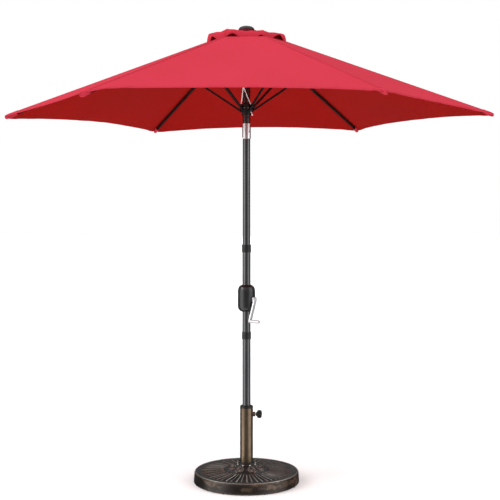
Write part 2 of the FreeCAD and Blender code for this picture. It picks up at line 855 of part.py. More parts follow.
def gores(name, z0, fall, r_in, r_out, cutin, thick, gap):
    out = []
    for k in range(6):
        a, b = math.radians(60 * k), math.radians(60 * k + 60)
        m = math.radians(60 * k + 30)
        side = Vector(-math.sin(m), math.cos(m), 0) * gap
        P1, P2 = ridge(z0, fall, r_in, k) + side, ridge(z0, fall, r_out, k) + side
        P4, P3 = ridge(z0, fall, r_in, k + 1) - side, ridge(z0, fall, r_out, k + 1) - side
        pts = [P1, P2]
        steps = 6 if cutin else 1
        for i in range(1, steps):
            f = i / steps
            base = P2 + (P3 - P2) * f
            pull = cutin * 4 * f * (1 - f)
            inward = ((P1 + P4) * 0.5 - (P2 + P3) * 0.5).normalize()
            pts.append(base + inward * pull)
        pts += [P3, P4]
        out.append(gore(name, pts, thick))
    return group(*out)


node(
    "canopy",
    gores(
        "gore",
        D["canopy_ridge"].v,
        D["rib_slope"].v,
        D["vent_hole"].v,
        D["canopy_radius"].v,
        D["canopy_cutin"].v,
        D["canopy_thick"].v,
        0.35,
    ),
)
vent_fall = (D["vent_high"].v - D["vent_low"].v) / (D["vent_radius"].v - 50.0)
skirt_high = D["vent_low"].v - 1.8
skirt_in = D["vent_radius"].v + 0.6
skirt_fall = (skirt_high - D["skirt_low"].v) / (D["skirt_radius"].v - skirt_in)
node(
    "vent_canopy",
    group(
        gores(
            "vent_gore",
            D["vent_high"].v + 50 * vent_fall,
            vent_fall,
            50.0,
            D["vent_radius"].v,
            0.0,
            D["canopy_thick"].v,
            0.35,
        ),
        gores(
            "vent_skirt",
            skirt_high + skirt_in * skirt_fall,
            skirt_fall,
            skirt_in,
            D["skirt_radius"].v,
            0.0,
            D["canopy_thick"].v,
            1.6,
        ),
    ),
)

# ------------------------------------------------------------------ lift cord
cr = D["cord_radius"].v


def rod(p, s, r):
    o = new("Part::Cylinder", "cord")
    v = Vector(*s) - Vector(*p)
    o.Radius = r
    if abs(r - cr) < 1e-6:
        o.setExpression("Radius", "Dims.cord_radius")
    o.Height = v.Length
    o.Placement = Placement(Vector(*p), Rotation(Vector(0, 0, 1), v))
    return o


ZC, ZT, ZP = D["crank_height"].v, D["tilt_height"].v, D["pulley_height"].v
node(
    "lift_cord_lower",
    rod(along(0, 11.4, ZC + 1), along(9.4, 0, ZT - 11.5), cr),
)
apex = toward(26.0, 0, 2052.0)
bend = new("Part::Torus", "cord_bend")
bend.Radius1 = 11.5
bend.Radius2 = cr
bend.setExpression("Radius2", "Dims.cord_radius")
bend.Placement = Placement(Vector(*toward(14.5, 0, ZP)), ACROSS)
over = common(bend, box(40, 20, 20, toward(-5, -10, ZP), PULL))
cord = fuse(
    rod(along(8.4, 0, ZT + 9.0), toward(3.0, 0, ZP), cr),
    over,
    rod(toward(26.0, 0, ZP), apex, cr),
    ball(2.4, apex),
    rod(apex, (-26.4, -18.0, 1962.4), 2.3),
    rod(apex, (22.3, -25.0, 1962.4), 2.3),
)
node("lift_cord", cord)
node(
    "cord_tail",
    fuse(rod((24.3, -23.0, 1921.5), (30.2, -26.6, 1907.0), 2.0), ball(4.0, (30.9, -27.0, 1905.0))),
)

# ------------------------------------------------------------------ checks and files
doc.recompute()
bad = []
for o in doc.Objects:
    if "Invalid" in o.State or "Error" in o.State:
        bad.append("%s (%s): %s" % (o.Name, o.Label, o.State))
for name, o in NODES.items():
    s = o.Shape
    if s.isNull() or not s.isValid() or not s.Solids:
        bad.append("%s has no valid solid" % name)
assert not bad, "\n".join(bad)
os.makedirs("parts", exist_ok=True)
total = 0
for name, o in sorted(NODES.items()):
    o.Shape.exportStep("parts/%s.step" % name)
    total += 1
    bb = o.Shape.BoundBox
    print(
        "%-18s solids %2d  volume %10.1f  z %7.1f %7.1f"
        % (name, len(o.Shape.Solids), o.Shape.Volume, bb.ZMin, bb.ZMax)
    )
print("nodes", total)
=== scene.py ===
import json
import math
import random

import bmesh
import bpy
import numpy as np
from mathutils import Matrix, Vector, noise

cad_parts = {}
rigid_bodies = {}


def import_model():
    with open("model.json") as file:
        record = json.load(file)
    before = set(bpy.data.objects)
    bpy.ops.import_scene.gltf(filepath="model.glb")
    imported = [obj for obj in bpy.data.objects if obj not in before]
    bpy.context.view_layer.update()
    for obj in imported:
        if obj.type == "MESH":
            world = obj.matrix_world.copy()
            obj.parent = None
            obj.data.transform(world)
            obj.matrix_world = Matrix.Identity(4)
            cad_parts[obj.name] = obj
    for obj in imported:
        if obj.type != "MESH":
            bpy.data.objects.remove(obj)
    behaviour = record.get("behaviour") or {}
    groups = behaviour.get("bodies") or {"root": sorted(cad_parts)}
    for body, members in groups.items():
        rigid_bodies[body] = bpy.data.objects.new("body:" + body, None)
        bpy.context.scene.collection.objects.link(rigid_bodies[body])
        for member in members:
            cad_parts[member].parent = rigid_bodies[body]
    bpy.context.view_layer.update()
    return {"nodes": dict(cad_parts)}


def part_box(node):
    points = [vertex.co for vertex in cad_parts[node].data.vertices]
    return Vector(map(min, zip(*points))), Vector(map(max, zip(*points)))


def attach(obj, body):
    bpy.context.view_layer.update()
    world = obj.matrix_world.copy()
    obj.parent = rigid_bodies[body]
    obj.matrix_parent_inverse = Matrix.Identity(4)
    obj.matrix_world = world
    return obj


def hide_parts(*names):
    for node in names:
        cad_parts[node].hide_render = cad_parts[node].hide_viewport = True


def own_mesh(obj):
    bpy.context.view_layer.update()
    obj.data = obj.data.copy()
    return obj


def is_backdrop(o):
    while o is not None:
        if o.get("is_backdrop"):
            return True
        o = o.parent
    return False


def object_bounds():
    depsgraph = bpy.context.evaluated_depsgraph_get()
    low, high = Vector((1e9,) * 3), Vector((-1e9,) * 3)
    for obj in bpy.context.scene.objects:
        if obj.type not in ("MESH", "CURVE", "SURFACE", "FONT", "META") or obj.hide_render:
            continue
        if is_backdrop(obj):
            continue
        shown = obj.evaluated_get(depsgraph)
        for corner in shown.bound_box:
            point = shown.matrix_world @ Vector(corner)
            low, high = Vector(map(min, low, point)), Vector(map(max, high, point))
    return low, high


for o in list(bpy.data.objects):
    bpy.data.objects.remove(o)
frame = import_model()
N = frame["nodes"]
random.seed(7)
scene = bpy.context.scene
scene.view_settings.view_transform = "Standard"
R60 = [math.radians(60 * k) for k in range(6)]

# ---------------------------------------------------------------- camera
pole_x = 0.0
cam_az, cam_d, cam_z = math.radians(-87.0), 5.393, 1.448
cam_data = bpy.data.cameras.new("camera")
cam = bpy.data.objects.new("camera", cam_data)
scene.collection.objects.link(cam)
scene.camera = cam
cam_data.sensor_width = 36.0
cam_data.lens = 36.0 * 1036.0 / 500.0
cam.location = (cam_d * math.cos(cam_az), cam_d * math.sin(cam_az), cam_z)
yaw = cam_az + math.pi - math.radians(0.1936)
cam_data.shift_y = -0.094
look = Vector((math.cos(yaw), math.sin(yaw), 0.0))
cam.rotation_mode = "QUATERNION"
cam.rotation_quaternion = look.to_track_quat("-Z", "Y")


# ---------------------------------------------------------------- material helpers
class Mat:
    def __init__(self, name):
        self.m = bpy.data.materials.new(name)
        self.m.use_nodes = True
        self.t = self.m.node_tree
        self.t.nodes.clear()
        self.out = self.t.nodes.new("ShaderNodeOutputMaterial")
        self.b = self.t.nodes.new("ShaderNodeBsdfPrincipled")
        self.t.links.new(self.b.outputs[0], self.out.inputs[0])
        self.bump_last = None

    def n(self, kind, **kw):
        node = self.t.nodes.new("ShaderNode" + kind)
        for k, v in kw.items():
            setattr(node, k, v)
        return node

    def link(self, a, b):
        self.t.links.new(a, b)

    def coords(self, scale=(1, 1, 1), uv=False, rot=(0, 0, 0)):
        tc = self.n("TexCoord")
        mp = self.n("Mapping")
        mp.inputs["Scale"].default_value = scale
        mp.inputs["Rotation"].default_value = rot
        self.link(tc.outputs["UV" if uv else "Object"], mp.inputs["Vector"])
        return mp.outputs[0]

    def noise(self, vec, scale, detail=3.0, rough=0.55, dist=0.0):
        t = self.n("TexNoise")
        t.inputs["Scale"].default_value = scale
        t.inputs["Detail"].default_value = detail
        t.inputs["Roughness"].default_value = rough
        t.inputs["Distortion"].default_value = dist
        self.link(vec, t.inputs["Vector"])
        return t.outputs["Fac"]

    def ramp(self, fac, stops, interp="LINEAR"):
        r = self.n("ValToRGB")
        r.color_ramp.interpolation = interp
        e = r.color_ramp.elements
        while len(e) < len(stops):
            e.new(0.5)
        for el, (p, c) in zip(e, stops):
            el.position = p
            el.color = (c, c, c, 1) if isinstance(c, (int, float)) else (*c, 1)
        self.link(fac, r.inputs[0])
        return r.outputs[0]

    def math(self, op, a, b=None, clamp=False):
        m = self.n("Math", operation=op, use_clamp=clamp)
        for i, x in enumerate((a, b)):
            if x is None:
                continue
            if isinstance(x, (int, float)):
                m.inputs[i].default_value = x
            else:
                self.link(x, m.inputs[i])
        return m.outputs[0]

    def mix(self, fac, a, b, blend="MIX"):
        m = self.n("Mix", data_type="RGBA", blend_type=blend)
        for i, x in ((0, fac), (6, a), (7, b)):
            if isinstance(x, (int, float)):
                m.inputs[i].default_value = x
            elif isinstance(x, tuple):
                m.inputs[i].default_value = (*x, 1)
            else:
                self.link(x, m.inputs[i])
        return m.outputs[2]

    def bump(self, height, strength, dist):
        b = self.n("Bump")
        b.inputs["Strength"].default_value = strength
        b.inputs["Distance"].default_value = dist
        self.link(height, b.inputs["Height"])
        if self.bump_last is not None:
            self.link(self.bump_last, b.inputs["Normal"])
        self.bump_last = b.outputs[0]
        self.link(b.outputs[0], self.b.inputs["Normal"])

    def set(self, **kw):
        names = {
            "color": "Base Color", "rough": "Roughness", "metal": "Metallic", "spec": "Specular IOR Level",
            "sheen": "Sheen Weight", "sheen_rough": "Sheen Roughness", "coat": "Coat Weight",
            "coat_rough": "Coat Roughness", "sheen_tint": "Sheen Tint", "sub": "Subsurface Weight",
        }
        for k, v in kw.items():
            s = self.b.inputs[names[k]]
            if isinstance(v, (int, float)):
                s.default_value = v
            elif isinstance(v, tuple):
                s.default_value = (*v, 1)
            else:
                self.link(v, s)
        return self


def fabric(name, light, deep, uv=True, spec=0.05):
    """Woven polyester: plain weave, slight yarn variation, broad unevenness."""
    m = Mat(name)
    v = m.coords(uv=uv)
    warp = m.n("TexWave", wave_type="BANDS", bands_direction="X", wave_profile="SIN")
    weft = m.n("TexWave", wave_type="BANDS", bands_direction="Y", wave_profile="SIN")
    for w in (warp, weft):
        w.inputs["Scale"].default_value = 190.0
        w.inputs["Distortion"].default_value = 0.6
        w.inputs["Detail"].default_value = 1.0
        m.link(v, w.inputs["Vector"])
    weave = m.math("MULTIPLY", warp.outputs["Fac"], weft.outputs["Fac"])
    yarn = m.noise(m.coords((1, 26, 1), uv=uv), 42.0, 2.0)
    yarn2 = m.noise(m.coords((26, 1, 1), uv=uv), 42.0, 2.0)
    yarns = m.math("ADD", m.math("MULTIPLY", yarn, 0.5), m.math("MULTIPLY", yarn2, 0.5))
    obj = m.coords()
    broad = m.noise(obj, 2.3, 3.0)
    tone = m.math("ADD", m.math("MULTIPLY", yarns, 0.45), m.math("MULTIPLY", broad, 0.55))
    tone = m.math("ADD", tone, m.math("MULTIPLY", m.math("SUBTRACT", weave, 0.25), 0.10))
    m.set(color=m.ramp(tone, [(0.34, deep), (0.66, light)]))
    m.set(rough=m.ramp(broad, [(0.3, 0.84), (0.7, 0.95)]), spec=spec)
    m.bump(weave, 0.30, 0.0004)
    m.bump(m.noise(obj, 34.0, 4.0, 0.6), 0.25, 0.0008)
    return m.m


def painted(name, base, edge, rough=0.38, metal=0.0, flake=0.0, streak=(1, 1, 0.05), coat=0.0, spec=0.5, grain=900.0, dust=0.10, relief=0.35):
    """Powder coat or moulded plastic: fine texture, faint streaks, dust in patches."""
    m = Mat(name)
    obj = m.coords()
    broad = m.noise(obj, 5.0, 4.0)
    long = m.noise(m.coords(streak), 120.0, 3.0)
    fine = m.noise(obj, grain, 2.0)
    tone = m.math("ADD", m.math("MULTIPLY", broad, 0.5), m.math("MULTIPLY", long, 0.5))
    col = m.ramp(tone, [(0.30, base), (0.72, edge)])
    if flake:
        speck = m.ramp(fine, [(0.60, 0.0), (0.74, flake)])
        col = m.mix(speck, col, (0.62, 0.62, 0.64))
    col = m.mix(m.ramp(m.noise(obj, 11.0, 5.0, 0.65), [(0.52, 0.0), (0.86, dust)]), col, (0.42, 0.40, 0.37))
    m.set(color=col, metal=metal, spec=spec, coat=coat, coat_rough=0.25)
    m.set(rough=m.ramp(tone, [(0.25, max(0.05, rough - 0.07)), (0.75, rough + 0.10)]))
    m.bump(fine, 0.18, 0.0003 * relief)
    m.bump(long, 0.06, 0.0003 * relief)
    return m.m


def bronze(name, dark, warm, high, rough, vertical, worn=0.5, metal=0.75, relief=1.0):
    """Antique bronze paint: dark base rubbed back to copper on patches and proud edges."""
    m = Mat(name)
    obj = m.coords()
    patch = m.noise(m.coords(vertical), 7.0, 6.0, 0.62, 0.4)
    fine = m.noise(obj, 260.0, 3.0)
    mid = m.noise(obj, 38.0, 4.0, 0.6)
    tone = m.math("ADD", m.math("MULTIPLY", patch, 0.72), m.math("MULTIPLY", mid, 0.28))
    col = m.ramp(tone, [(0.36, dark), (0.52, warm), (0.68, high)])
    geo = m.n("NewGeometry")
    proud = m.ramp(geo.outputs["Pointiness"], [(0.505, 0.0), (0.56, worn)])
    col = m.mix(proud, col, high)
    col = m.mix(m.ramp(fine, [(0.45, 0.0), (0.75, 0.35)]), col, dark)
    m.set(color=col, metal=metal, spec=0.5)
    m.set(rough=m.ramp(tone, [(0.3, rough + 0.12), (0.7, rough - 0.05)]))
    m.bump(mid, 0.14, 0.0012 * relief)
    m.bump(fine, 0.20, 0.0004 * relief)
    return m.m


def brushed(name, base, edge, rough=0.28, direction=(1, 1, 0.02), metal=1.0):
    m = Mat(name)
    streaks = m.noise(m.coords(direction), 420.0, 4.0)
    broad = m.noise(m.coords(), 14.0, 4.0)
    tone = m.math("ADD", m.math("MULTIPLY", streaks, 0.5), m.math("MULTIPLY", broad, 0.5))
    m.set(color=m.ramp(tone, [(0.30, base), (0.70, edge)]), metal=metal)
    m.set(rough=m.ramp(tone, [(0.25, rough - 0.06), (0.75, rough + 0.14)]))
    m.bump(streaks, 0.10, 0.00006)
    return m.m


CANOPY_OUT = fabric("canopy_outer", (0.482, 0.0305, 0.0535), (0.444, 0.0255, 0.0455))
# painted shade: the canopy's underside is a darker copy of the same red cloth, darkened to stand for the shade under
# the canopy
CANOPY_IN_PAINTED_SHADE = fabric("canopy_inner_painted_shade", (0.275, 0.0068, 0.0052), (0.240, 0.0054, 0.0040), spec=0.02)
# painted light: the vent's underside is a lighter copy of the red cloth, standing for light shining through the thin
# fabric
VENT_IN_PAINTED_LIGHT = fabric("vent_inner_painted_light", (0.62, 0.022, 0.020), (0.54, 0.015, 0.014), spec=0.02)
HEM = fabric("canopy_hem", (0.468, 0.0285, 0.0495), (0.425, 0.0235, 0.0415))
THREAD = fabric("seam_thread", (0.43, 0.022, 0.038), (0.36, 0.016, 0.027), uv=False)
POLE = painted("pole_coat", (0.082, 0.082, 0.084), (0.112, 0.112, 0.115), rough=0.20, metal=0.92, flake=0.03, coat=0.0, dust=0.01, spec=0.3, relief=0.06)
PLASTIC = painted("black_mould", (0.005, 0.005, 0.005), (0.011, 0.011, 0.011), rough=0.36, coat=0.0, dust=0.03, spec=0.32)
HOUSING = painted("housing_mould", (0.030, 0.030, 0.031), (0.050, 0.050, 0.052), rough=0.26, metal=0.75, coat=0.0, dust=0.02, relief=0.08)
RIB = painted("rib_coat", (0.004, 0.004, 0.004), (0.009, 0.009, 0.009), rough=0.33, metal=0.0, streak=(0.3, 0.3, 0.3), spec=0.35, dust=0.03)
SILVER = brushed("tilt_satin", (0.62, 0.63, 0.65), (0.84, 0.85, 0.87), rough=0.26)
CRANK = painted("crank_paint", (0.50, 0.50, 0.51), (0.66, 0.66, 0.67), rough=0.30, metal=0.55, coat=0.1, dust=0.03)
ZINC = brushed("zinc_plate", (0.42, 0.42, 0.41), (0.66, 0.66, 0.65), rough=0.34, direction=(1, 1, 1))
RUBBER = painted("foot_rubber", (0.012, 0.012, 0.012), (0.028, 0.028, 0.028), rough=0.72, spec=0.3)
TUBE = bronze("bronze_tube", (0.052, 0.034, 0.022), (0.128, 0.089, 0.059), (0.215, 0.155, 0.104), 0.22, (5.0, 5.0, 0.35), 0.30, 0.92, relief=0.12)
CAST = bronze("bronze_cast", (0.006, 0.005, 0.0045), (0.013, 0.0105, 0.0095), (0.050, 0.036, 0.029), 0.30, (1.0, 1.0, 1.6), 0.10, 0.35)
CAST_SIDE = bronze("bronze_rim", (0.004, 0.003, 0.0025), (0.020, 0.013, 0.0095), (0.19, 0.122, 0.078), 0.24, (0.8, 0.8, 2.2), 0.25, 0.45)
# painted shade: a near-black copy of the cast bronze for the groove floors, standing for the shade in the hollows
GROOVE_SHADE = bronze("bronze_groove_painted_shade", (0.0025, 0.002, 0.002), (0.005, 0.004, 0.0035), (0.012, 0.009, 0.008), 0.55, (1.0, 1.0, 1.0), 0.0, 0.1)
# lighter crest lines on the bars and scroll tops: partly rubbed wear, partly painted highlight
CREST_WEAR_AND_HIGHLIGHT = bronze("bronze_crest_wear_and_highlight", (0.14, 0.105, 0.085), (0.28, 0.215, 0.175), (0.44, 0.35, 0.29), 0.32, (1.4, 1.4, 1.4), 0.2, 0.6)
# painted highlight: a bright copy used only on alternate bar crests at the front of the base
CREST_HIGHLIGHT = bronze("bronze_crest_painted_highlight", (0.46, 0.42, 0.39), (0.74, 0.70, 0.66), (0.92, 0.90, 0.88), 0.24, (1.4, 1.4, 1.4), 0.2, 0.7)
BEAD = bronze("bronze_bead", (0.26, 0.23, 0.20), (0.50, 0.45, 0.40), (0.70, 0.65, 0.60), 0.32, (1, 1, 1), 0.3, 0.8)


def cordmat():
    m = Mat("braided_cord")
    v = m.coords(uv=True)
    a = m.n("TexWave", wave_type="BANDS", bands_direction="DIAGONAL")
    a.inputs["Scale"].default_value = 60.0
    a.inputs["Distortion"].default_value = 1.5
    m.link(m.coords(), a.inputs["Vector"])
    fuzz = m.noise(m.coords(), 500.0, 3.0)
    m.set(color=m.ramp(fuzz, [(0.3, (0.84, 0.80, 0.78)), (0.7, (0.96, 0.94, 0.93))]), rough=m.ramp(fuzz, [(0.3, 0.72), (0.7, 0.88)]), sheen=0.2, sheen_rough=0.5)
    m.bump(a.outputs["Fac"], 0.5, 0.0006)
    m.bump(fuzz, 0.3, 0.0003)
    return m.m


CORD = cordmat()

# ---------------------------------------------------------------- finish of the CAD nodes
for name, o in N.items():
    if name in ("lower_pole", "crank_pole", "mid_pole", "upper_tube"):
        mat = POLE
    elif name.startswith("housing_") and name != "housing_screws":
        mat = HOUSING
    elif name in ("tilt_collar", "tilt_fork", "tilt_tongue", "tilt_button"):
        mat = SILVER
    elif name in ("crank_arm", "crank_grip"):
        mat = CRANK
    elif name in ("base_bolts", "clamp_screw", "clamp_pad", "housing_screws", "tilt_pin", "hub_pins", "crank_spool", "runner_rivets"):
        mat = ZINC
    elif name == "base_feet":
        mat = RUBBER
    elif name == "base_tube":
        mat = TUBE
    elif name == "base_plate":
        mat = CAST
    elif name.startswith(("lift_cord", "cord_tail")):
        mat = CORD
    elif name.startswith(("rib_tip", "rib_bracket")):
        mat = PLASTIC
    elif name.startswith(("rib_", "strut_")):
        mat = RIB
    else:
        mat = PLASTIC
    o.data.materials.clear()
    o.data.materials.append(mat)


# ---------------------------------------------------------------- mesh helpers
def obj_from(name, verts, faces, mats, uvs=None, mat_index=None, smooth=True):
    me = bpy.data.meshes.new(name)
    me.from_pydata([tuple(v) for v in verts], [], faces)
    for m in mats:
        me.materials.append(m)
    if uvs is not None:
        layer = me.uv_layers.new(name="UVMap")
        for loop in me.loops:
            layer.data[loop.index].uv = uvs[loop.vertex_index]
    if mat_index is not None:
        me.polygons.foreach_set("material_index", mat_index)
    me.polygons.foreach_set("use_smooth", [smooth] * len(me.polygons))
    me.update()
    o = bpy.data.objects.new(name, me)
    scene.collection.objects.link(o)
    return o


def bake_mods(o):
    dg = bpy.context.evaluated_depsgraph_get()
    bpy.context.view_layer.update()
    me = bpy.data.meshes.new_from_object(o.evaluated_get(dg), depsgraph=dg)
    o.modifiers.clear()
    o.data = me
    return o


def grid_faces(nu, nv, flip=False):
    out = []
    for i in range(nu - 1):
        for j in range(nv - 1):
            a, b = i * nv + j, (i + 1) * nv + j
            q = (a, b, b + 1, a + 1)
            out.append(q[::-1] if flip else q)
    return out


def shell(name, top, uvs, nu, nv, thick, up_sign, mats):
    """A thin closed sheet from a grid of points: outer face, inner face and rim. Index nu by nv."""
    P = np.array(top, float).reshape(nu, nv, 3)
    du = np.gradient(P, axis=0)
    dv = np.gradient(P, axis=1)
    nrm = np.cross(du, dv)
    nrm /= np.linalg.norm(nrm, axis=2, keepdims=True) + 1e-12
    if up_sign * nrm[:, :, 2].mean() < 0:
        nrm = -nrm
        flip = True
    else:
        flip = False
    Q = P - nrm * thick
    verts = np.concatenate([P.reshape(-1, 3), Q.reshape(-1, 3)])
    n = nu * nv
    faces = grid_faces(nu, nv, flip)
    k = len(faces)
    faces += [tuple(x + n for x in f[::-1]) for f in faces[:k]]
    idx = [0] * k + [1] * k
    ring = [i * nv for i in range(nu)] + [(nu - 1) * nv + j for j in range(1, nv)]
    ring += [i * nv + nv - 1 for i in range(nu - 2, -1, -1)] + [j for j in range(nv - 2, 0, -1)]
    rim = [verts[a] for a in ring] + [verts[a + n] for a in ring]
    rim_uv = [uvs[a] for a in ring] * 2
    m = len(ring)
    for a in range(m):
        b = (a + 1) % m
        f = (2 * n + a, 2 * n + b, 2 * n + b + m, 2 * n + a + m)
        faces.append(f if flip else f[::-1])
        idx.append(0)
    verts = np.concatenate([verts, np.array(rim)])
    return obj_from(name, verts, faces, mats, list(uvs) + list(uvs) + rim_uv, idx)


# ---------------------------------------------------------------- canopy surface
RIDGE, FALL = 2.360, 0.354
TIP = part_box("canopy")[1].x
HOLE = 0.150


def unit(az):
    return Vector((math.cos(az), math.sin(az), 0.0))


# hem of each panel: how far its middle is cut in along the corner radius, and how it hangs, in metres
DIPS = {
    0: ((0.013, 0.14), (0.013, 0.12)), 1: ((0.013, 0.12), (0.017, 0.34)), 2: ((0.015, 0.20), (0.019, 0.30)),
    3: ((0.008, 0.10), (0.004, 0.05)), 4: ((0.0, 0.05), (0.0, 0.05)), 5: ((0.004, 0.05), (0.010, 0.14)),
}
PANELS = {0: (0.052, -0.006), 1: (0.050, -0.004), 2: (0.052, -0.006), 3: (0.046, -0.008), 4: (0.078, 0.001), 5: (0.046, -0.006)}


def canopy_point(panel, u, w):
    """panel k runs from rib k to rib k+1; u is 0 at the vent hole and 1 at the hem, w is 0 to 1 across."""
    cut, hang = PANELS[panel]
    arch = 4.0 * w * (1.0 - w)
    if panel == 4 and w < 0.5:
        hem = TIP - cut * (1 - math.exp(-(min(w, 1 - w) * TIP / 0.050) ** 1.5))
    else:
        hem = TIP - cut * arch
    rho = HOLE + (hem - HOLE) * u
    a, b = unit(R60[panel]), unit(R60[panel] + math.radians(60))
    p = (a * (1 - w) + b * w) * rho
    sag = arch * (math.sin(math.pi * min(1.0, u * 0.92)) * -0.009 + hang * u * u)
    # the cloth bellies a little along each seam, and small puckers run into the corners
    s = min(w, 1 - w)
    pucker = 0.0008 * math.sin(rho * 2 * math.pi / 0.031) * math.exp(-(s * rho / 0.016)) * min(1.0, u * 6)
    corner = math.exp(-((1.0 - u) / 0.10)) * math.exp(-(s / 0.10))
    ang = math.atan2(s * rho, (TIP + 0.02) - rho)
    folds = 0.0016 * corner * math.sin(ang * 22.0) * (1 - math.exp(-s * rho / 0.012))
    away = s * rho * 1.0
    depth, reach = DIPS[panel][0 if w < 0.5 else 1]
    taper = max(0.0, 1 - (s / 0.5) ** 2)
    dip = -depth * (1 - math.exp(-away / 0.010)) * math.exp(-away / reach) * taper * math.exp(-(1.0 - u) * (hem - HOLE) / (0.030 + 0.25 * away))
    soft = 0.0016 * noise.noise(Vector((p.x * 3.1, p.y * 3.1, 4.7))) * min(1.0, arch * 3.0)
    ripple = 0.0012 * noise.noise(Vector((p.x * 11.0, p.y * 11.0, 9.1))) * min(1.0, arch * 3.0) * (u ** 3)
    return Vector((p.x, p.y, RIDGE - FALL * rho + sag + pucker + folds + dip + soft + ripple))


def half_gore(panel, low):
    """Half of a panel, from its ridge to its middle; low is the rib k side."""
    nu, nv = 132, 27
    pts, uvs = [], []
    m = R60[panel] + math.radians(30)
    mid, tan = unit(m), unit(m + math.pi / 2)
    for i in range(nu):
        u = i / (nu - 1)
        for j in range(nv):
            w = 0.5 * j / (nv - 1)
            p = canopy_point(panel, u, w if low else 1 - w)
            pts.append(p)
            uvs.append((p.dot(mid) * 1.08, p.dot(tan)))
    rib = panel + 1 if low else (panel + 1) % 6 + 1
    return shell("canopy_%d_%s" % (panel + 1, "a" if low else "b"), pts, uvs, nu, nv, 0.0011, 1, [CANOPY_OUT, CANOPY_IN_PAINTED_SHADE]), rib


def fold(o, rib):
    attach(o, "rib_arm_%d" % rib)
    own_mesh(o)
    return o


canopy_parts = []
for k in range(6):
    for low in (True, False):
        o, rib = half_gore(k, low)
        canopy_parts.append((o, rib, 1 if low else -1, k, low))


def tube_along(name, pts, radius, mats, seg=8, ellipse=(1.0, 1.0), up=Vector((0, 0, 1)), closed_ends=True, uv_scale=1.0):
    """A round or oval strip along points."""
    verts, faces, uvs = [], [], []
    n = len(pts)
    dist = 0.0
    for i, p in enumerate(pts):
        a, b = pts[max(0, i - 1)], pts[min(n - 1, i + 1)]
        t = (b - a).normalized()
        s = t.cross(up)
        if s.length < 1e-6:
            s = t.cross(Vector((1, 0, 0)))
        s.normalize()
        q = s.cross(t)
        if i:
            dist += (p - pts[i - 1]).length
        for j in range(seg):
            th = 2 * math.pi * j / seg
            verts.append(p + s * (math.cos(th) * radius * ellipse[0]) + q * (math.sin(th) * radius * ellipse[1]))
            uvs.append((dist * uv_scale, th * radius))
    for i in range(n - 1):
        for j in range(seg):
            a, b = i * seg + j, i * seg + (j + 1) % seg
            faces.append((a, b, b + seg, a + seg))
    if closed_ends:
        faces.append(tuple(range(seg))[::-1])
        faces.append(tuple((n - 1) * seg + j for j in range(seg)))
    o = obj_from(name, verts, faces, mats, uvs)
    return o


def join(name, objs):
    """One mesh from several, keeping their materials."""
    mats = []
    verts, faces, idx, uvs = [], [], [], []
    for o in objs:
        base = len(verts)
        me = o.data
        verts += [v.co.copy() for v in me.vertices]
        local = []
        for m in me.materials:
            if m not in mats:
                mats.append(m)
            local.append(mats.index(m))
        layer = me.uv_layers.active
        per = {}
        if layer:
            for l in me.loops:
                per[l.vertex_index] = tuple(layer.data[l.index].uv)
        uvs += [per.get(i, (0.0, 0.0)) for i in range(len(me.vertices))]
        for p in me.polygons:
            faces.append(tuple(base + v for v in p.vertices))
            idx.append(local[p.material_index] if local else 0)
        bpy.data.objects.remove(o)
    return obj_from(name, verts, faces, mats, uvs, idx)


# hems: a turned and stitched band along each lower edge, half a panel at a time
hems = []
for o, rib, sign, panel, low in canopy_parts:
    pts, stitch = [], []
    for j in range(60):
        w = 0.5 * j / 59
        ww = w if low else 1 - w
        pts.append(canopy_point(panel, 0.9985, ww) + Vector((0, 0, -0.0006)))
    band = tube_along("hem_band", pts, 0.0021, [HEM], seg=10, ellipse=(1.0, 0.85))
    parts = [band]
    # two rows of stitches, raised dashes on the upper face
    for off in (0.986, 0.979):
        line = []
        for j in range(220):
            w = 0.5 * (j + 0.2) / 220
            ww = w if low else 1 - w
            line.append(canopy_point(panel, off, ww) + Vector((0, 0, 0.0002)))
        for j in range(2, 218, 2):
            parts.append(tube_along("st", [line[j], line[j].lerp(line[j + 1], 0.9)], 0.0005, [THREAD], seg=5))
    hems.append((join("hem_%d_%s" % (panel + 1, "a" if low else "b"), parts), rib, sign))

# ridge seams: a flat felled strip over each rib with a row of stitches each side
seams = []
for k in range(6):
    d, t = unit(R60[k]), unit(R60[k] + math.pi / 2)
    nu = 150
    rows = [-0.0085, -0.0080, -0.0045, 0.0, 0.0045, 0.0080, 0.0085]
    lift = [0.0001, 0.0007, 0.0009, 0.0011, 0.0009, 0.0007, 0.0001]
    pts, uvs = [], []
    for i in range(nu):
        rho = HOLE + 0.002 + (TIP - 0.006 - HOLE) * i / (nu - 1)
        for y, h in zip(rows, lift):
            drop = abs(y) * 0.20
            wob = 0.0005 * math.sin(rho * 2 * math.pi / 0.031)
            p = d * rho + t * y + Vector((0, 0, RIDGE - FALL * rho - drop + h + wob * abs(y) / 0.008))
            pts.append(p)
            uvs.append((rho * 1.06, y))
    strip = shell("seam_strip", pts, uvs, nu, len(rows), 0.0008, 1, [HEM, CANOPY_IN_PAINTED_SHADE])
    parts = [strip]
    for y in (-0.0062, 0.0062):
        for i in range(0, 250):
            rho = HOLE + 0.006 + i * 0.0044
            if rho > TIP - 0.012:
                break
            z = RIDGE - FALL * rho - abs(y) * 0.2 + 0.0009
            a = d * rho + t * y + Vector((0, 0, z))
            b = d * (rho + 0.0028) + t * y + Vector((0, 0, z - FALL * 0.0028))
            parts.append(tube_along("st", [a, b], 0.0005, [THREAD], seg=5))
    seams.append(join("ridge_seam_%d" % (k + 1), parts))

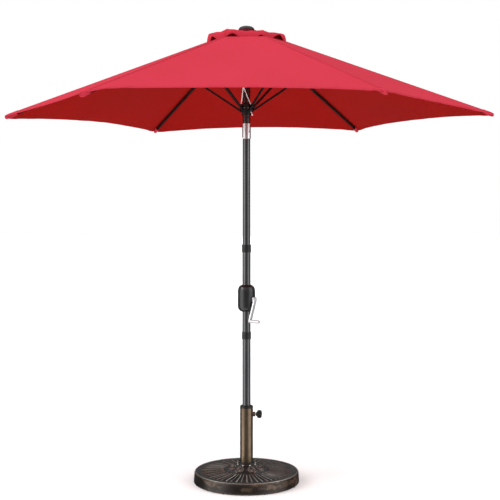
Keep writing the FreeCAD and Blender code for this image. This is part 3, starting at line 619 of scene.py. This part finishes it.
# corner pockets: a sewn cap over each rib end, hanging below the hem
pockets = []
for k in range(6):
    d, t = unit(R60[k]), unit(R60[k] + math.pi / 2)
    ns, nc = 22, 26
    verts, uvs = [], []
    rho0, rho1 = TIP - (0.066 if k == 3 else 0.050), TIP + 0.002
    for i in range(ns):
        f = i / (ns - 1)
        rho = rho0 + (rho1 - rho0) * f
        end = max(0.0, (f - 0.62) / 0.38)
        shrink = math.sqrt(max(0.0, 1 - end * end))
        shrink = max(shrink, 0.04)
        top = RIDGE - FALL * rho + 0.0022 - 0.004 * end * end
        depth = (0.0245 + 0.004 * math.sin(f * 2.2)) * (0.35 + 0.65 * shrink) * (0.80, 1.0, 1.0, 0.95, 0.92, 0.80)[k]
        half = 0.0108 * shrink + 0.0006
        for j in range(nc):
            th = 2 * math.pi * j / nc
            cx, cz = math.cos(th), math.sin(th)
            px = math.copysign(abs(cx) ** 0.7, cx) * half * (1.0 - 0.18 * max(0.0, -cz))
            pz = top - depth / 2 + math.copysign(abs(cz) ** 0.75, cz) * depth / 2
            wr = 0.0006 * noise.noise(Vector((rho * 60, th * 1.2, k * 3.0)))
            p = d * rho + t * (px + wr) + Vector((0, 0, pz + wr))
            verts.append(p)
            uvs.append((rho, th * 0.012))
    faces = []
    for i in range(ns - 1):
        for j in range(nc):
            a, b = i * nc + j, i * nc + (j + 1) % nc
            faces.append((a, b, b + nc, a + nc))
    faces.append(tuple((ns - 1) * nc + j for j in range(nc))[::-1])
    cap = obj_from("pocket_shell", verts, faces, [CANOPY_OUT, CANOPY_IN_PAINTED_SHADE], uvs)
    sol = cap.modifiers.new("s", "SOLIDIFY")
    sol.thickness, sol.offset, sol.material_offset = 0.0011, -1, 1
    bake_mods(cap)
    if not cap.data.uv_layers:
        cap.data.uv_layers.new(name="UVMap")
    rim = []
    for j in range(nc + 1):
        rim.append(Vector(verts[j % nc]))
    hemline = tube_along("pocket_hem", rim, 0.0012, [HEM], seg=8, closed_ends=False)
    pockets.append(join("corner_pocket_%d" % (k + 1), [cap, hemline]))

for o, rib, sign, panel, low in canopy_parts:
    fold(o, rib)
for o, rib, sign in hems:
    fold(o, rib)
for k in range(6):
    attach(seams[k], "rib_arm_%d" % (k + 1))
    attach(pockets[k], "rib_arm_%d" % (k + 1))

# ---------------------------------------------------------------- vent canopy
VR, VTOP, VLOW = 0.198, 2.3475, 2.3262
SKIRT_R, SKIRT_Z = 0.2055, 2.2925
# arches in the vent's hem: (centre across the panel, half width, height)
ARCHES = {
    4: [(0.20, 0.19, 0.021), (0.90, 0.10, 0.008)],
    5: [(0.62, 0.34, 0.030)],
    3: [(0.36, 0.24, 0.024)],
    0: [(0.45, 0.33, 0.026)],
    1: [(0.30, 0.22, 0.020), (0.76, 0.16, 0.014)],
    2: [(0.55, 0.32, 0.026)],
}
# each vent corner stands at its own height, as soft cloth does
EARLY = {0: 0.004, 1: 0.002, 2: 0.002, 3: 0.003, 4: 0.0055, 5: 0.0095}
CORNER = {0: 0.0023, 1: 0.003, 2: 0.006, 3: 0.0088, 4: 0.0028, 5: -0.0052}


def vent_point(panel, r, w):
    """r is 0 at the crown, 1 at the shoulder and 2 at the hem."""
    a, b = unit(R60[panel]), unit(R60[panel] + math.radians(60))
    arch = 4 * w * (1 - w)
    ca, cb = CORNER[panel], CORNER[(panel + 1) % 6]
    cz = ca * (1 - w) + cb * w
    lift = 0.0
    for c, h, amp in ARCHES[panel]:
        x = (w - c) / h
        if abs(x) < 1:
            lift += amp * (0.5 + 0.5 * math.cos(math.pi * x))
    if r <= 1:
        rho = 0.036 + (VR - 0.036) * r
        z = VTOP - (VTOP - VLOW) * r + cz * r * r
        z += arch * (-0.0035 * math.sin(math.pi * min(1, r * 0.9)) - 0.004 * r * r) + lift * 0.22 * r * r
        z -= 0.006 * max(0.0, (r - 0.86) / 0.14) ** 2
        early = EARLY[panel] * (1 - w) + EARLY[(panel + 1) % 6] * w + 0.0035 * arch
        z -= early * (1 - math.exp(-(rho - 0.036) / 0.022)) * (1 - r ** 3)
    else:
        f = r - 1
        rho = VR + (SKIRT_R + 0.0005 - VR) * math.sin(f * math.pi / 2) + 0.010 * lift / 0.03 * f
        z0 = VLOW + cz - arch * 0.004 + lift * 0.22 - 0.006
        base = RIDGE - FALL * rho + 0.0026 - arch * 0.004
        z1 = base + lift
        z1 = min(z1, z0 - 0.004)
        z = z0 + (z1 - z0) * f
    pull = 1.0 - 0.022 * arch * (r / 2)
    p = (a * (1 - w) + b * w) * (rho * pull)
    wr = 0.0013 * noise.noise(Vector((p.x * 20, p.y * 20, 2.2))) * min(1.0, arch * 4) * min(1, r)
    return Vector((p.x, p.y, z + wr))


vent_parts = []
for k in range(6):
    for low in (True, False):
        nu, nv = 60, 25
        pts, uvs = [], []
        m = R60[k] + math.radians(30)
        mid, tan = unit(m), unit(m + math.pi / 2)
        for i in range(nu):
            r = 2.0 * i / (nu - 1)
            for j in range(nv):
                w = 0.5 * j / (nv - 1)
                p = vent_point(k, r, w if low else 1 - w)
                pts.append(p)
                uvs.append((p.dot(mid) + max(0, r - 1) * 0.03, p.dot(tan)))
        o = shell("vent_%d_%s" % (k + 1, "a" if low else "b"), pts, uvs, nu, nv, 0.0011, 1, [CANOPY_OUT, VENT_IN_PAINTED_LIGHT])
        edge = [vent_point(k, 1.995, (0.5 * j / 49) if low else 1 - 0.5 * j / 49) for j in range(50)]
        band = tube_along("vh", edge, 0.0017, [HEM], seg=8)
        parts = [o, band]
        line = [vent_point(k, 1.70, (0.5 * (j + 0.2) / 44) if low else 1 - 0.5 * (j + 0.2) / 44) for j in range(44)]
        out = [(p * 1.0) + Vector((p.x, p.y, 0)).normalized() * 0.0004 for p in line]
        for j in range(1, 42, 2):
            parts.append(tube_along("st", [out[j], out[j].lerp(out[j + 1], 0.85)], 0.0005, [THREAD], seg=5))
        piece = join("vent_%d_%s" % (k + 1, "a" if low else "b"), parts)
        rib = k + 1 if low else (k + 1) % 6 + 1
        vent_parts.append((piece, rib, 1 if low else -1))
# binding over each vent ridge
for k in range(6):
    line = [vent_point(k, 0.10 + 0.80 * i / 60, 0.0) for i in range(61)]
    t = unit(R60[k] + math.pi / 2)
    pts, uvs = [], []
    for i, p in enumerate(line):
        for y, h in ((-0.006, 0.0001), (-0.0054, 0.0006), (0.0, 0.0008), (0.0054, 0.0006), (0.006, 0.0001)):
            outward = Vector((0, 0, 0))
            pts.append(p + t * y + outward + Vector((0, 0, h - abs(y) * 0.13)))
            uvs.append((i * 0.004, y))
    s = shell("vent_binding_%d" % (k + 1), pts, uvs, 61, 5, 0.0008, 1, [HEM, CANOPY_IN_PAINTED_SHADE])
    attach(s, "rib_arm_%d" % (k + 1))
for o, rib, sign in vent_parts:
    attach(o, "rib_arm_%d" % rib)
    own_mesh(o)
# the crown: reinforcing disc sewn under the finial
rings, seg = 12, 72
verts, uvs, faces = [], [], []
for i in range(rings):
    f = i / (rings - 1)
    rho = 0.0115 + (0.056 - 0.0115) * f
    for j in range(seg):
        th = 2 * math.pi * j / seg
        ridge = 0.5 + 0.5 * math.cos(6 * th)
        z = VTOP + 0.0006 - 0.0045 * max(0, f - 0.55) * 2.0 - 0.0012 * (1 - ridge) * f
        verts.append((rho * math.cos(th), rho * math.sin(th), z))
        uvs.append((rho * math.cos(th), rho * math.sin(th)))
for i in range(rings - 1):
    for j in range(seg):
        a, b = i * seg + j, i * seg + (j + 1) % seg
        faces.append((a, a + seg, b + seg, b))
crown = obj_from("vent_crown", verts, faces, [CANOPY_OUT, CANOPY_IN_PAINTED_SHADE], uvs)
sol = crown.modifiers.new("s", "SOLIDIFY")
sol.thickness, sol.offset, sol.material_offset = 0.0010, -1, 1
bake_mods(crown)
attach(crown, "upper_pole")

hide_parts("canopy")
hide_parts("vent_canopy")

# flat sizes: half a panel, ridge to middle
for o, rib, sign, panel, low in canopy_parts:
    me = o.data
    area = sum(p.area for p in me.polygons if p.material_index == 1)
for o, rib, sign in vent_parts:
    me = o.data
    area = sum(p.area for p in me.polygons if me.materials[p.material_index] == VENT_IN_PAINTED_LIGHT)

# ---------------------------------------------------------------- lift cord
p_az = math.radians(-125.0)
PD, PT = unit(p_az), unit(p_az + math.pi / 2)
APEX = PD * 0.026 + Vector((0, 0, 2.052))


def rope(name, pts, radius, strands=3, pitch=0.012, sub=8, seg=7, close=True):
    """Laid cord: strands twisted round a centre line."""
    path = []
    for i in range(len(pts) - 1):
        L = (pts[i + 1] - pts[i]).length
        n = max(2, int(L / (pitch / sub)))
        path += [pts[i].lerp(pts[i + 1], j / n) for j in range(n)]
    path.append(pts[-1])
    objs = []
    for s in range(strands):
        line, dist = [], 0.0
        for i, p in enumerate(path):
            a, b = path[max(0, i - 1)], path[min(len(path) - 1, i + 1)]
            t = (b - a).normalized()
            x = t.cross(Vector((0.3, 0.9, 0.1))).normalized()
            y = t.cross(x)
            if i:
                dist += (p - path[i - 1]).length
            th = 2 * math.pi * (dist / pitch + s / strands)
            line.append(p + (x * math.cos(th) + y * math.sin(th)) * radius * 0.46)
        objs.append(tube_along("strand", line, radius * 0.56, [CORD], seg=seg))
    return join(name, objs)


legL, legR = Vector((-0.0264, -0.0180, 1.9600)), Vector((0.0223, -0.0250, 1.9600))
legs = [rope("leg", [APEX, legL], 0.0027), rope("leg", [APEX, legR], 0.0027)]
# knot where the two legs meet the lift line
knot_pts = []
for i in range(40):
    th = i / 39 * 4 * math.pi
    knot_pts.append(APEX + Vector((math.cos(th) * 0.0036, math.sin(th) * 0.0036, -0.004 + 0.008 * i / 39)))
legs.append(tube_along("knot", knot_pts, 0.0019, [CORD], seg=8))
v_cord = join("v_cord", legs)
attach(v_cord, "runner")
over = []
for i in range(25):
    th = math.pi * i / 24
    over.append(PD * (0.0145 + 0.0115 * math.cos(th)) + Vector((0, 0, 2.062 + 0.0115 * math.sin(th))))
a_out = Vector((math.cos(math.radians(-37)), math.sin(math.radians(-37)), 0))
inner = [*over, PD * 0.003 + Vector((0, 0, 2.055)), a_out * 0.0084 + Vector((0, 0, 1.806))]
inner_cord = tube_along("pulley_cord", inner, 0.0019, [CORD], seg=10)
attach(inner_cord, "upper_pole")
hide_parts("lift_cord")
# the outer run down to the knot, short, as when the runner is up
drop = [APEX + Vector((0, 0, 0.012)), APEX + Vector((0, 0, 0.002))]
short_run = tube_along("outer_run", drop, 0.0019, [CORD], seg=10)
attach(short_run, "upper_pole")
# the long run lies inside the tube, in two straight pieces carried by the upper and main poles
for run, body, z_hi, z_lo in (("cord_run_upper", "upper_pole", 2.046, 1.812), ("cord_run_lower", "main_pole", 1.812, 1.582)):
    line = [Vector((0, 0, z_hi + (z_lo - z_hi) * i / 40)) for i in range(41)]
    strand = tube_along(run, line, 0.0019, [CORD], seg=8)
    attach(strand, body)
    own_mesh(strand)

# ---------------------------------------------------------------- base plate
hole = 0.0338
ceiling = 0.049


def profile():
    return [
        (0.0336, 0.0995), (0.0400, 0.0990), (0.0430, 0.0980), (0.0460, 0.0952), (0.0485, 0.0905), (0.0520, 0.0885), (0.0600, 0.0855),
        (0.0700, 0.0795), (0.0800, 0.0745), (0.0950, 0.0690), (0.1080, 0.0652), (0.1100, 0.0648), (0.1500, 0.0598),
        (0.1900, 0.0580), (0.2280, 0.0566), (0.2330, 0.0562), (0.2360, 0.0566), (0.2385, 0.0575), (0.2500, 0.0575), (0.2620, 0.0574),
        (0.2662, 0.0567), (0.2690, 0.0545), (0.2702, 0.0515), (0.2712, 0.0400), (0.2725, 0.0200), (0.2738, 0.0080), (0.2735, 0.0045),
        (0.2722, 0.0032), (0.2640, 0.0032), (0.2625, 0.0060), (0.2620, 0.0480), (0.2590, 0.0490), (0.1000, 0.0490), (0.0345, 0.0490), (0.0336, 0.0500),
    ]


prof = profile()
# finer steps along the profile where the flutes are
fine = []
for (r0, z0), (r1, z1) in zip(prof, prof[1:]):
    steps = 1
    if 0.05 <= min(r0, r1) and max(r0, r1) <= 0.24 and z0 > 0.05 and z1 > 0.05:
        steps = max(1, int(abs(r1 - r0) / 0.0042))
    for i in range(steps):
        f = i / steps
        fine.append((r0 + (r1 - r0) * f, z0 + (z1 - z0) * f, z0 > 0.0501 and r0 < 0.2662))
fine.append((*prof[-1], False))
FL = 54
SEG = FL * 16
verts, faces, idx, scroll = [], [], [], []
for r, z, top in fine:
    for j in range(SEG):
        th = 2 * math.pi * j / SEG
        dz = best = 0.0
        if top and 0.104 < r < 0.2325:
            # rounded bars with hollows between; alternate hollows start further out
            ph = (th * FL / (2 * math.pi)) % 1.0
            which = int(th * FL / (2 * math.pi)) % 2
            start = 0.108 if which else 0.124
            f_in = min(1.0, max(0.0, (r - start) / 0.008))
            f_out = min(1.0, max(0.0, (0.2305 - r) / 0.004))
            width = 0.30 + 0.06 * (r - 0.1) / 0.13
            x = abs(ph - 0.5) / width
            hollow = max(0.0, 1 - x ** 4) if x < 1 else 0.0
            dz -= 0.0052 * hollow * f_in * f_out
            bar = max(0.0, 1 - (min(ph, 1 - ph) / 0.16) ** 2)
            dz += 0.0016 * bar * f_in * f_out
        if top and 0.050 < r < 0.104:
            # scroll relief round the hub
            R0 = 0.078
            for c in range(8):
                tc = 2 * math.pi * (c + 0.5) / 8
                dx = r * math.cos(th - tc) - R0
                dy = r * math.sin(th - tc)
                rr, aa = math.hypot(dx, dy), math.atan2(dy, dx)
                if rr < 0.027:
                    s = (rr / 0.0078 - aa / (2 * math.pi) * (1 if c % 2 else -1)) % 1.0
                    best = max(best, (0.5 + 0.5 * math.cos(2 * math.pi * s)) * min(1, (0.027 - rr) / 0.005) * min(1, rr / 0.004 + 0.3))
            dz += 0.0042 * best
        verts.append((r * math.cos(th), r * math.sin(th), z + dz))
        scroll.append(best)
n_ring = len(fine)
for i in range(n_ring):
    i2 = (i + 1) % n_ring
    for j in range(SEG):
        j2 = (j + 1) % SEG
        faces.append((i * SEG + j, i2 * SEG + j, i2 * SEG + j2, i * SEG + j2))
        bar, which = j % 16, (j // 16) % 2
        inside = fine[i][2] and 0.110 < fine[i][0] < 0.2285
        crest = inside and fine[i][0] > 0.116 and (bar in (15, 0, 1) if which else bar in (15, 0))
        # groove floors take the painted shade material
        deep = inside and 4 <= bar <= 11 and fine[i][0] > (0.124 if which == 0 else 0.112)
        # bars at the front, whose crests get the painted highlight
        front_highlight_bar = abs((2 * math.pi * (j + 0.5) / SEG - math.radians(273) + math.pi) % (2 * math.pi) - math.pi) < 0.62
        # raised scroll tops take the lighter crest material, rubbed wear and painted highlight
        if scroll[i * SEG + j] > 0.84:
            idx.append(4)
            continue
        idx.append((2 if which and front_highlight_bar else 4) if crest else (3 if deep else (1 if fine[i][0] > 0.2655 else 0)))
plate = obj_from("cast_base", verts, faces, [CAST, CAST_SIDE, CREST_HIGHLIGHT, GROOVE_SHADE, CREST_WEAR_AND_HIGHLIGHT], None, idx)
bm = bmesh.new()
bm.from_mesh(plate.data)
bmesh.ops.recalc_face_normals(bm, faces=bm.faces)
bm.to_mesh(plate.data)
bm.free()
plate.data.polygons.foreach_set("use_smooth", [True] * len(plate.data.polygons))
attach(plate, "base")
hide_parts("base_plate")


def lathe(name, prof, seg, mats, closed=False):
    verts, faces = [], []
    for r, z in prof:
        for j in range(seg):
            th = 2 * math.pi * j / seg
            verts.append((r * math.cos(th), r * math.sin(th), z))
    for i in range(len(prof) - 1 + (1 if closed else 0)):
        i2 = (i + 1) % len(prof)
        for j in range(seg):
            j2 = (j + 1) % seg
            faces.append((i * seg + j, i * seg + j2, i2 * seg + j2, i2 * seg + j))
    o = obj_from(name, verts, faces, mats)
    bm = bmesh.new()
    bm.from_mesh(o.data)
    bmesh.ops.recalc_face_normals(bm, faces=bm.faces)
    bm.to_mesh(o.data)
    bm.free()
    o.data.polygons.foreach_set("use_smooth", [True] * len(o.data.polygons))
    return o


# copper line rubbed bright along the rim's edge
edge_ring = lathe("rim_line", [(0.2655 + 0.0011 * math.cos(a), 0.0566 + 0.0011 * math.sin(a)) for a in [2 * math.pi * i / 12 for i in range(12)]], 288, [BEAD], True)
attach(edge_ring, "base")
# ring and beads at the foot of the tube
foot_ring = lathe("foot_ring", [(0.0338, 0.0985), (0.0338, 0.1030), (0.0352, 0.1042), (0.0376, 0.1040), (0.0392, 0.1022), (0.0396, 0.0990), (0.0388, 0.0970)], 120, [PLASTIC])
sol = foot_ring.modifiers.new("s", "SOLIDIFY")
sol.thickness, sol.offset = 0.0006, -1
bake_mods(foot_ring)
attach(foot_ring, "base")
beads = []
for i in range(8):
    th = math.radians(-110.0 + 45 * i)
    bm = bmesh.new()
    bmesh.ops.create_uvsphere(bm, u_segments=16, v_segments=10, radius=0.0052)
    me = bpy.data.meshes.new("bead")
    bmesh.ops.translate(bm, verts=bm.verts, vec=(0.0478 * math.cos(th), 0.0478 * math.sin(th), 0.0915))
    bm.to_mesh(me)
    bm.free()
    me.materials.append(BEAD)
    b = bpy.data.objects.new("bead", me)
    scene.collection.objects.link(b)
    beads.append(b)
bead_ring = join("foot_beads", beads)
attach(bead_ring, "base")

# ---------------------------------------------------------------- clamp knob
verts, faces = [], []
zk = 0.350
stations = [(0.0495, 0.0088, 0), (0.0500, 0.0094, 0), (0.0530, 0.0112, 0), (0.0545, 0.0125, 0.0), (0.0553, 0.0150, 0.4), (0.0570, 0.0176, 0.8), (0.0598, 0.0193, 1.0), (0.0635, 0.0201, 1.0),
            (0.0690, 0.0202, 1.0), (0.0735, 0.0195, 1.0), (0.0768, 0.0178, 0.9), (0.0786, 0.0158, 0.6), (0.0793, 0.0132, 0.3), (0.0796, 0.0110, 0.0), (0.0792, 0.0085, 0.0), (0.0803, 0.0070, 0), (0.0805, 0.0040, 0), (0.0805, 0.0006, 0)]
SEGK = 120
for x, r, l in stations:
    for j in range(SEGK):
        th = 2 * math.pi * j / SEGK
        wave = 0.5 + 0.5 * math.cos(6 * th)
        rr = r * (1 - 0.17 * l * (1 - wave ** 0.55))
        rr = rr * (1 + 0.09 * l * wave)
        verts.append((x, rr * math.cos(th), zk + rr * math.sin(th)))
for i in range(len(stations) - 1):
    for j in range(SEGK):
        j2 = (j + 1) % SEGK
        faces.append((i * SEGK + j, i * SEGK + j2, (i + 1) * SEGK + j2, (i + 1) * SEGK + j))
faces.append(tuple(range(SEGK))[::-1])
faces.append(tuple((len(stations) - 1) * SEGK + j for j in range(SEGK)))
knob = obj_from("lobed_knob", verts, faces, [PLASTIC])
bm = bmesh.new()
bm.from_mesh(knob.data)
bmesh.ops.recalc_face_normals(bm, faces=bm.faces)
bm.to_mesh(knob.data)
bm.free()
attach(knob, "clamp_knob")
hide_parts("clamp_knob")

# ---------------------------------------------------------------- socket of the crank, with its screw
ca = Vector((math.cos(math.radians(-37)), math.sin(math.radians(-37)), 0))
cs = ca.cross(Vector((0, 0, 1)))
arm_lo, arm_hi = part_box("crank_arm")
reach = [Vector((x, y, 0)).dot(ca) for x in (arm_lo.x, arm_hi.x) for y in (arm_lo.y, arm_hi.y)]
rings_c = [(0.0000, 0.0125), (0.0008, 0.0142), (0.0030, 0.0150), (0.0085, 0.0150), (0.0108, 0.0142), (0.0116, 0.0125), (0.0117, 0.0080), (0.0112, 0.0066), (0.0124, 0.0060), (0.0150, 0.0052), (0.0160, 0.0030), (0.0162, 0.0004)]
boss_at = 0.0470
verts, faces = [], []
for d, r in rings_c:
    for j in range(48):
        th = 2 * math.pi * j / 48
        sq = 1.0 + 0.10 * math.cos(4 * th + math.pi) if r > 0.01 else 1.0
        verts.append(ca * (boss_at + d) + cs * (r * sq * math.cos(th)) + Vector((0, 0, 0.948 + r * sq * math.sin(th))))
for i in range(len(rings_c) - 1):
    for j in range(48):
        j2 = (j + 1) % 48
        faces.append((i * 48 + j, (i + 1) * 48 + j, (i + 1) * 48 + j2, i * 48 + j2))
faces.append(tuple(range(48)))
faces.append(tuple((len(rings_c) - 1) * 48 + j for j in range(48))[::-1])
boss = obj_from("crank_socket", verts, faces, [CRANK])
bm = bmesh.new()
bm.from_mesh(boss.data)
bmesh.ops.recalc_face_normals(bm, faces=bm.faces)
bm.to_mesh(boss.data)
bm.free()
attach(boss, "crank")

# ---------------------------------------------------------------- floor, light, world
bm = bmesh.new()
bmesh.ops.create_grid(bm, x_segments=2, y_segments=2, size=40.0)
me = bpy.data.meshes.new("floor")
bm.to_mesh(me)
bm.free()
floor = bpy.data.objects.new("floor", me)
scene.collection.objects.link(floor)
fm = Mat("floor_pale")
fm.set(color=fm.ramp(fm.noise(fm.coords(), 0.8, 2.0), [(0.3, (0.975, 0.975, 0.975)), (0.7, (0.995, 0.995, 0.995))]), rough=0.9, spec=0.1)
me.materials.append(fm.m)
floor.visible_glossy = False
floor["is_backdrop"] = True

world = bpy.data.worlds.new("world")
scene.world = world
world.use_nodes = True
wt = world.node_tree
bg = wt.nodes["Background"]


def wn(kind, **kw):
    node = wt.nodes.new("ShaderNode" + kind)
    for k, v in kw.items():
        setattr(node, k, v)
    return node


# white studio: two broad soft panels at the sides, a dimmer front and a dark card behind, all wrapped round as light only
tc = wn("TexCoord")
sep = wn("SeparateXYZ")
wt.links.new(tc.outputs["Generated"], sep.inputs[0])


def wramp(fac, stops):
    r = wn("ValToRGB")
    e = r.color_ramp.elements
    while len(e) < len(stops):
        e.new(0.5)
    for el, (p, c) in zip(e, stops):
        el.position = p
        el.color = (c, c, c, 1)
    wt.links.new(fac, r.inputs[0])
    return r.outputs[0]


def wmath(op, a, b):
    m = wn("Math", operation=op)
    for i, x in enumerate((a, b)):
        if isinstance(x, (int, float)):
            m.inputs[i].default_value = x
        else:
            wt.links.new(x, m.inputs[i])
    return m.outputs[0]


front = wmath("ADD", wmath("MULTIPLY", sep.outputs[1], -0.5), 0.5)
sides = wramp(front, [(0.0, 0.03), (0.40, 0.05), (0.54, 1.0), (0.82, 1.0), (0.93, 0.22), (1.0, 0.12)])
tilt_lr = wmath("ADD", wmath("MULTIPLY", sep.outputs[0], -0.18), 1.0)
sides = wmath("MULTIPLY", sides, tilt_lr)
up = wramp(wmath("ADD", wmath("MULTIPLY", sep.outputs[2], 0.5), 0.5), [(0.57, 0.0), (0.63, 0.16), (0.80, 0.28), (0.92, 1.0)])
env = wmath("MAXIMUM", wmath("MULTIPLY", sides, 2.0), wmath("MULTIPLY", up, 1.60))
lp = wn("LightPath")
wm = wn("Mix", data_type="RGBA")
wt.links.new(lp.outputs["Is Camera Ray"], wm.inputs[0])
wt.links.new(env, wm.inputs[6])
wm.inputs[7].default_value = (1, 1, 1, 1)
wt.links.new(wm.outputs[2], bg.inputs["Color"])
bg.inputs["Strength"].default_value = 1.0


def area(name, loc, target, size, energy, color=(1, 1, 1)):
    l = bpy.data.lights.new(name, "AREA")
    l.size, l.energy, l.color, l.shape = size, energy, color, "SQUARE"
    o = bpy.data.objects.new(name, l)
    scene.collection.objects.link(o)
    o.location = loc
    o.rotation_mode = "QUATERNION"
    o.rotation_quaternion = (Vector(target) - Vector(loc)).to_track_quat("-Z", "Y")
    return o


area("key", (-5.2, -1.9, 3.8), (0, 0, 1.3), 2.2, 85)
area("fill", (5.2, -1.6, 3.0), (0, 0, 1.2), 2.0, 40)

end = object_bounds()
